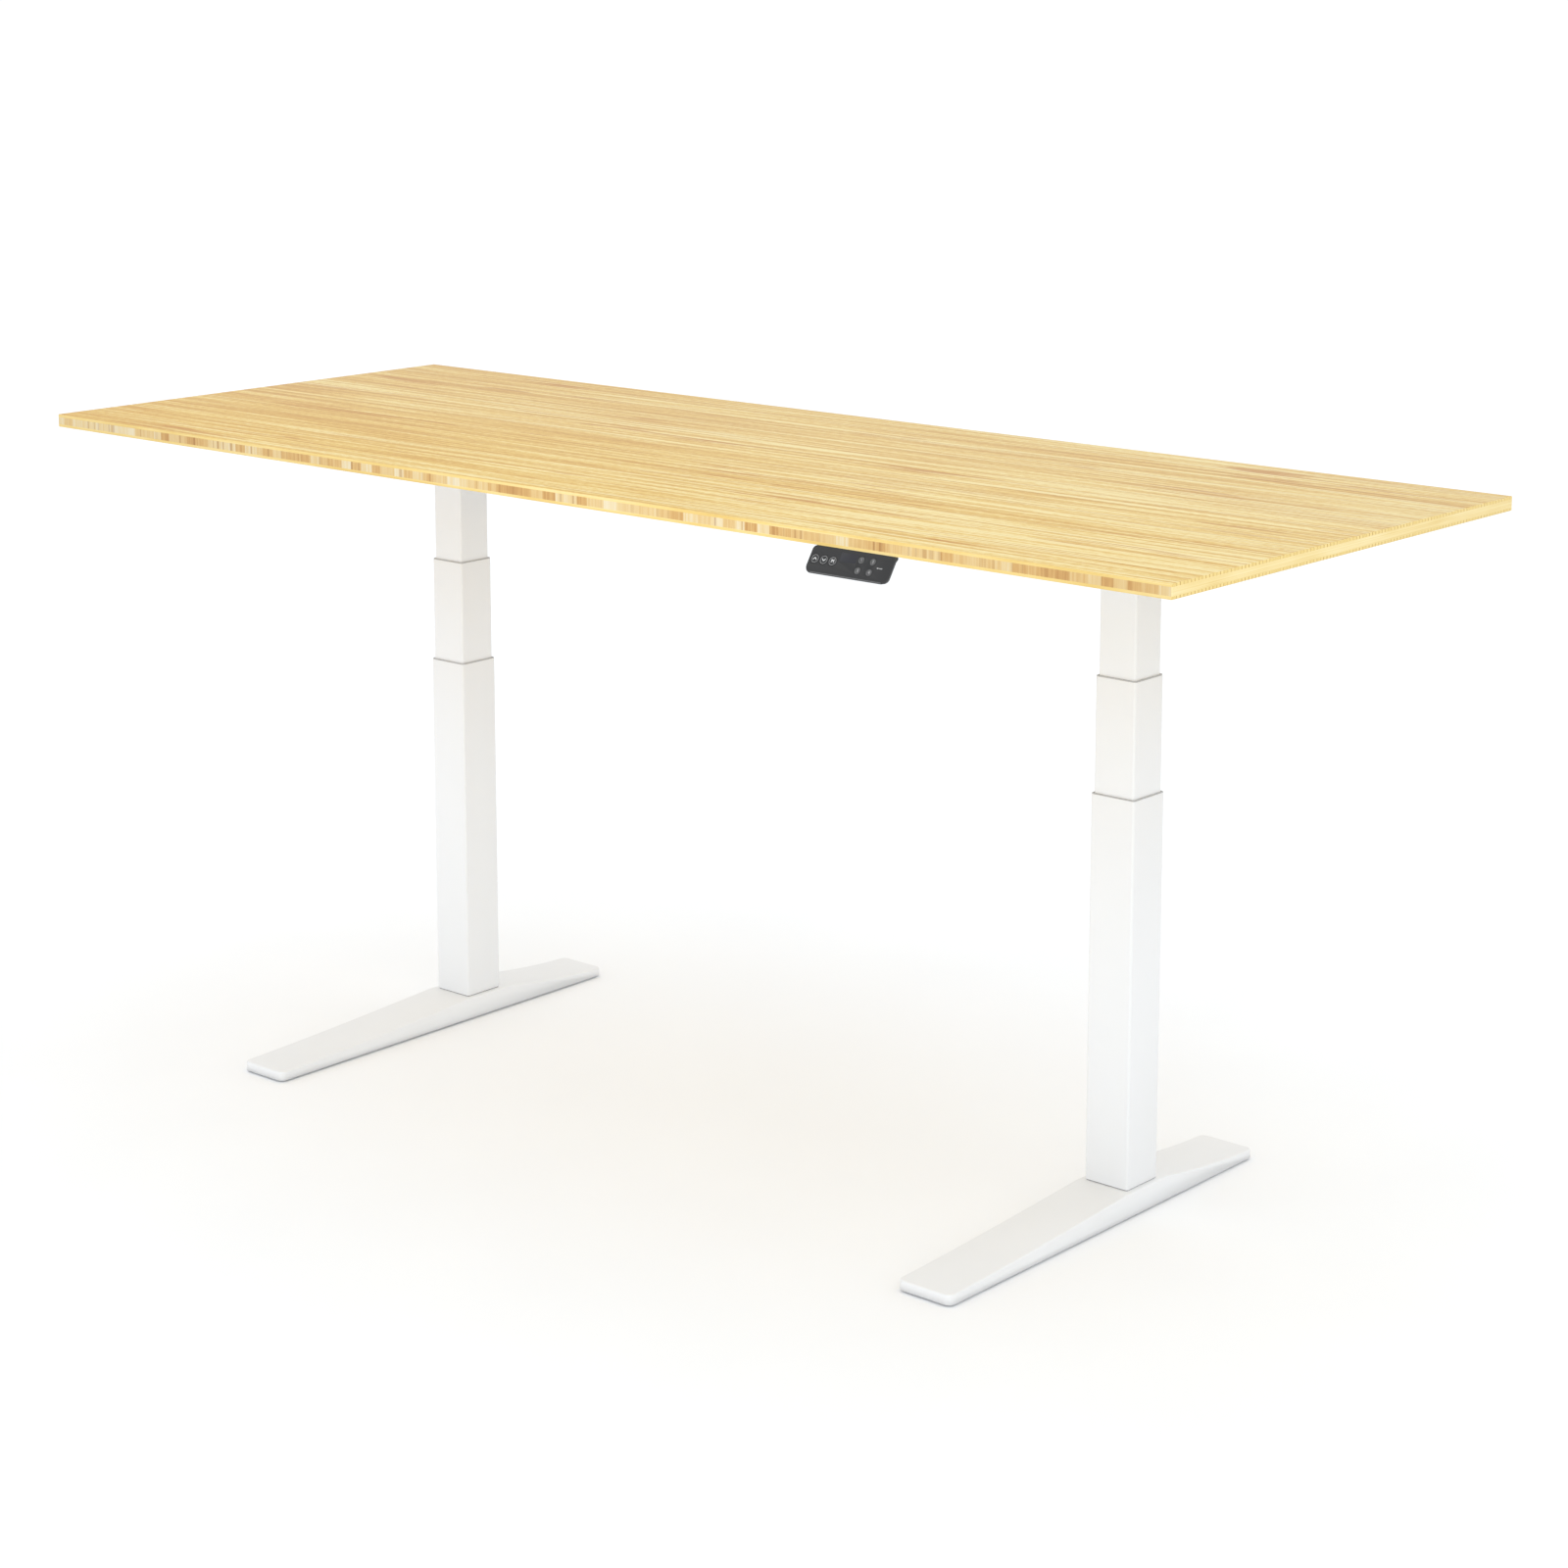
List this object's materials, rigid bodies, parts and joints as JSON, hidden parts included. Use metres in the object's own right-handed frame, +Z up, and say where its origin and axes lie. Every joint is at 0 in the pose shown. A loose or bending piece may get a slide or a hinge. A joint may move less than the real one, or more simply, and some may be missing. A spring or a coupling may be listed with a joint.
{
  "type": "height adjustable standing desk",
  "caption": "Electric standing desk: laminated bamboo top on two three-stage lifting columns with levelling feet and a front-edge keypad.",
  "frame": {"origin": "on the floor, under the middle of the whole desk's outline (the keypad stands in front of the top, so the top's middle is 10 mm behind it)", "axes": "+X along the desk's length towards the keypad end, -Y towards the user, +Z up"},
  "size_m": [2.032, 0.7982, 0.9735],
  "materials": {
    "bamboo": "laminated caramel-streaked bamboo, satin lacquer",
    "powder_coat": "fine white powder coat",
    "bright_steel": "zinc-plated or ground steel",
    "bronze": "machined bronze",
    "guide_plastic": "moulded acetal",
    "glide_rubber": "hard rubber",
    "gearbox_alloy": "die cast, grey",
    "motor_paint": "black paint",
    "case_plastic": "fine moulded grain",
    "keypad_gloss": "semi-gloss charcoal",
    "display_glass": "dark window",
    "lead_rubber": "black cable jacket"
  },
  "bodies": {
    "base": {"foot_left": "powder_coat", "foot_right": "powder_coat", "column_plate_left": "bright_steel", "column_plate_right": "bright_steel", "foot_bolts": "bright_steel", "lower_tube_left": "powder_coat", "lower_tube_right": "powder_coat", "lower_collar_left": "guide_plastic", "lower_collar_right": "guide_plastic", "base_screw_left": "bright_steel", "base_screw_right": "bright_steel"},
    "lift": {"desktop": "bamboo", "upper_tube_left": "powder_coat", "upper_tube_right": "powder_coat", "column_head_left": "powder_coat", "column_head_right": "powder_coat", "gearbox_left": "gearbox_alloy", "gearbox_right": "gearbox_alloy", "motor_left": "motor_paint", "motor_right": "motor_paint", "side_arm_left": "powder_coat", "side_arm_right": "powder_coat", "rail_front": "powder_coat", "rail_back": "powder_coat", "frame_bolts": "bright_steel", "wood_screws": "bright_steel", "small_screws": "bright_steel", "control_box": "case_plastic", "control_box_lid": "case_plastic", "power_inlet": "case_plastic", "keypad_housing": "case_plastic", "keypad_face": "keypad_gloss", "keypad_display": "display_glass", "motor_lead_left": "lead_rubber", "motor_lead_right": "lead_rubber", "keypad_lead": "lead_rubber", "lead_clips": "lead_rubber"},
    "left_mid": {"mid_tube_left": "powder_coat", "mid_collar_left": "guide_plastic", "mid_post_left": "bright_steel", "travel_nut_left": "bronze"},
    "left_drive": {"drive_tube_left": "bronze"},
    "left_screw": {"lead_screw_left": "bright_steel"},
    "right_mid": {"mid_tube_right": "powder_coat", "mid_collar_right": "guide_plastic", "mid_post_right": "bright_steel", "travel_nut_right": "bronze"},
    "right_drive": {"drive_tube_right": "bronze"},
    "right_screw": {"lead_screw_right": "bright_steel"},
    "glide_front_left": {"glide_front_left": "glide_rubber"},
    "glide_front_right": {"glide_front_right": "glide_rubber"},
    "glide_back_left": {"glide_back_left": "glide_rubber"},
    "glide_back_right": {"glide_back_right": "glide_rubber"},
    "button_up": {"button_up": "keypad_gloss"},
    "button_down": {"button_down": "keypad_gloss"},
    "button_memory": {"button_memory": "keypad_gloss"},
    "button_1": {"button_1": "keypad_gloss"},
    "button_2": {"button_2": "keypad_gloss"},
    "button_3": {"button_3": "keypad_gloss"},
    "button_4": {"button_4": "keypad_gloss"}
  },
  "joints": [
    {"name": "lift_slide", "type": "slide", "parent": "base", "child": "lift", "axis": [0, 0, 1], "range_m": [-0.31, 0.34]},
    {"name": "left_mid_slide", "type": "slide", "parent": "base", "child": "left_mid", "axis": [0, 0, 1], "range_m": [-0.156, 0.171]},
    {"name": "right_mid_slide", "type": "slide", "parent": "base", "child": "right_mid", "axis": [0, 0, 1], "range_m": [-0.156, 0.171]},
    {"name": "left_screw_turn", "type": "hinge", "parent": "lift", "child": "left_screw", "pos_m": [-0.6325, 0.09208, 0.66], "axis": [0, 0, 1], "range_deg": [-5600, 6140]},
    {"name": "left_drive_turn", "type": "hinge", "parent": "left_mid", "child": "left_drive", "pos_m": [-0.6325, 0.09208, 0.44], "axis": [0, 0, 1], "range_deg": [-5600, 6140]},
    {"name": "right_screw_turn", "type": "hinge", "parent": "lift", "child": "right_screw", "pos_m": [0.6325, 0.09208, 0.66], "axis": [0, 0, 1], "range_deg": [-5600, 6140]},
    {"name": "right_drive_turn", "type": "hinge", "parent": "right_mid", "child": "right_drive", "pos_m": [0.6325, 0.09208, 0.44], "axis": [0, 0, 1], "range_deg": [-5600, 6140]},
    {"name": "glide_front_left_adjust", "type": "slide", "parent": "base", "child": "glide_front_left", "axis": [0, 0, -1], "range_m": [0, 0.008]},
    {"name": "glide_front_right_adjust", "type": "slide", "parent": "base", "child": "glide_front_right", "axis": [0, 0, -1], "range_m": [0, 0.008]},
    {"name": "glide_back_left_adjust", "type": "slide", "parent": "base", "child": "glide_back_left", "axis": [0, 0, -1], "range_m": [0, 0.008]},
    {"name": "glide_back_right_adjust", "type": "slide", "parent": "base", "child": "glide_back_right", "axis": [0, 0, -1], "range_m": [0, 0.008]},
    {"name": "button_up_press", "type": "slide", "parent": "lift", "child": "button_up", "axis": [0, 0.8387, -0.5446], "range_m": [0, 0.0005], "stiffness_N_per_m": 1500, "springref_m": -0.0004},
    {"name": "button_down_press", "type": "slide", "parent": "lift", "child": "button_down", "axis": [0, 0.8387, -0.5446], "range_m": [0, 0.0005], "stiffness_N_per_m": 1500, "springref_m": -0.0004},
    {"name": "button_memory_press", "type": "slide", "parent": "lift", "child": "button_memory", "axis": [0, 0.8387, -0.5446], "range_m": [0, 0.0005], "stiffness_N_per_m": 1500, "springref_m": -0.0004},
    {"name": "button_1_press", "type": "slide", "parent": "lift", "child": "button_1", "axis": [0, 0.8387, -0.5446], "range_m": [0, 0.0005], "stiffness_N_per_m": 1500, "springref_m": -0.0004},
    {"name": "button_2_press", "type": "slide", "parent": "lift", "child": "button_2", "axis": [0, 0.8387, -0.5446], "range_m": [0, 0.0005], "stiffness_N_per_m": 1500, "springref_m": -0.0004},
    {"name": "button_3_press", "type": "slide", "parent": "lift", "child": "button_3", "axis": [0, 0.8387, -0.5446], "range_m": [0, 0.0005], "stiffness_N_per_m": 1500, "springref_m": -0.0004},
    {"name": "button_4_press", "type": "slide", "parent": "lift", "child": "button_4", "axis": [0, 0.8387, -0.5446], "range_m": [0, 0.0005], "stiffness_N_per_m": 1500, "springref_m": -0.0004}
  ],
  "couplings": [
    {"joint": "left_mid_slide", "follows": "lift_slide", "ratio": 0.5},
    {"joint": "left_screw_turn", "follows": "lift_slide", "rad_per_m": 314.16},
    {"joint": "left_drive_turn", "follows": "lift_slide", "rad_per_m": 314.16},
    {"joint": "right_mid_slide", "follows": "lift_slide", "ratio": 0.5},
    {"joint": "right_screw_turn", "follows": "lift_slide", "rad_per_m": 314.16},
    {"joint": "right_drive_turn", "follows": "lift_slide", "rad_per_m": 314.16}
  ]
}
